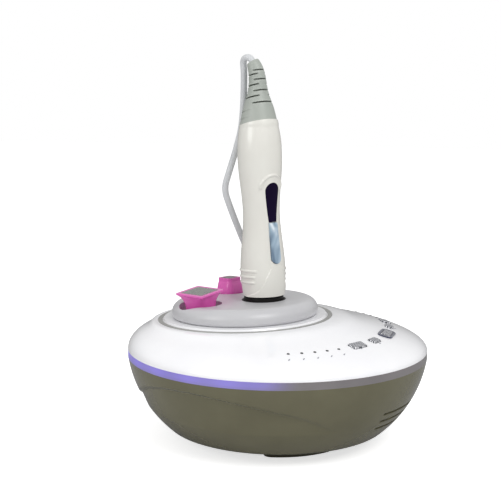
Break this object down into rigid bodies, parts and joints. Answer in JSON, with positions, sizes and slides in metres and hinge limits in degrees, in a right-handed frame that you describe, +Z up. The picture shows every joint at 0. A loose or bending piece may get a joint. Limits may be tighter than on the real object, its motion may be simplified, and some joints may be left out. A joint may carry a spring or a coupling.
{
  "type": "facial toning device",
  "caption": "Desktop facial toning unit: round bowl base with light ring, corded hand piece in its dock, and treatment heads parked in the tray.",
  "frame": {"origin": "on the table under the centre of the round base", "axes": "+Z up, along the docked hand piece; control keys face -Y, rear connectors face +Y"},
  "size_m": [0.3358, 0.27, 0.3445],
  "materials": {
    "bowl_olive": "gloss",
    "cover_white": "gloss",
    "tray_grey": "satin",
    "ring_light": "gloss",
    "trim_silver": "satin",
    "grip_cream": "gloss",
    "boot_grey": "satin",
    "cord_grey": "satin",
    "rubber_black": "matte",
    "collar_black": "satin",
    "window_violet": "gloss",
    "button_blue": "pearl",
    "key_chrome": "polished",
    "bezel_navy": "gloss",
    "lens_smoke": "gloss",
    "head_pink": "gloss",
    "plate_steel": "fine grid",
    "contact_brass": "satin",
    "board_green": "satin",
    "part_black": "matte",
    "core_steel": "satin",
    "screw_steel": "satin",
    "panel_black": "satin"
  },
  "bodies": {
    "base": {"bowl": "bowl_olive", "rubber_feet": "rubber_black", "base_screws": "screw_steel", "light_ring": "ring_light", "led_strip": "board_green", "top_cover": "cover_white", "trim_ring": "trim_silver", "tray": "tray_grey", "tray_screws": "screw_steel", "dock_liner": "rubber_black", "power_bezel": "bezel_navy", "indicator_lenses": "lens_smoke", "control_board": "board_green", "board_screws": "screw_steel", "key_switches": "part_black", "main_board": "board_green", "buzzer": "part_black", "transformer": "core_steel", "connector_panel": "panel_black", "power_inlet": "panel_black", "inlet_pins": "contact_brass", "switch_frame": "panel_black", "handpiece_socket": "panel_black", "cord_tail": "cord_grey", "cord_coil": "cord_grey", "cord_plug": "collar_black"},
    "hand_piece": {"handle_front_shell": "grip_cream", "handle_rear_shell": "grip_cream", "display_window": "window_violet", "handle_board": "board_green", "handle_switch": "part_black", "handle_screws": "screw_steel", "nose_collar": "collar_black", "contact_pins": "contact_brass", "strain_relief": "boot_grey", "cord_lead": "cord_grey"},
    "hand_button": {"handle_button": "button_blue"},
    "large_head": {"large_head": "head_pink", "large_head_plate": "plate_steel", "large_head_contact": "contact_brass"},
    "small_head": {"small_head": "head_pink", "small_head_plate": "plate_steel", "small_head_contact": "contact_brass"},
    "rocker": {"power_rocker": "part_black"},
    "key_1": {"key_1": "key_chrome"},
    "key_2": {"key_2": "key_chrome"},
    "key_3": {"key_3": "key_chrome"},
    "key_4": {"key_4": "key_chrome"},
    "key_5": {"key_5": "key_chrome"}
  },
  "joints": [
    {"name": "hand_piece_lift", "type": "slide", "parent": "base", "child": "hand_piece", "axis": [0, 0.0349, 0.9994], "range_m": [0, 0.12]},
    {"name": "hand_button_press", "type": "slide", "parent": "hand_piece", "child": "hand_button", "axis": [0.5664, 0.8236, -0.0288], "range_m": [0, 0.001], "stiffness_N_per_m": 800},
    {"name": "large_head_lift", "type": "slide", "parent": "base", "child": "large_head", "axis": [-0.0872, 0.0348, 0.9956], "range_m": [0, 0.06]},
    {"name": "small_head_lift", "type": "slide", "parent": "base", "child": "small_head", "axis": [0, 0.0349, 0.9994], "range_m": [0, 0.06]},
    {"name": "rocker_tilt", "type": "hinge", "parent": "base", "child": "rocker", "pos_m": [0.016, 0.1135, 0.055], "axis": [1, 0, 0], "range_deg": [0, 16]},
    {"name": "key_1_press", "type": "slide", "parent": "base", "child": "key_1", "axis": [0.1271, 0.2262, -0.9658], "range_m": [0, 0.0008], "stiffness_N_per_m": 600},
    {"name": "key_2_press", "type": "slide", "parent": "base", "child": "key_2", "axis": [0.0707, 0.2442, -0.9671], "range_m": [0, 0.0008], "stiffness_N_per_m": 600},
    {"name": "key_3_press", "type": "slide", "parent": "base", "child": "key_3", "axis": [-0.0012, 0.2521, -0.9677], "range_m": [0, 0.0008], "stiffness_N_per_m": 600},
    {"name": "key_4_press", "type": "slide", "parent": "base", "child": "key_4", "axis": [-0.073, 0.2438, -0.9671], "range_m": [0, 0.0008], "stiffness_N_per_m": 600},
    {"name": "key_5_press", "type": "slide", "parent": "base", "child": "key_5", "axis": [-0.1294, 0.2254, -0.9656], "range_m": [0, 0.0008], "stiffness_N_per_m": 600}
  ]
}
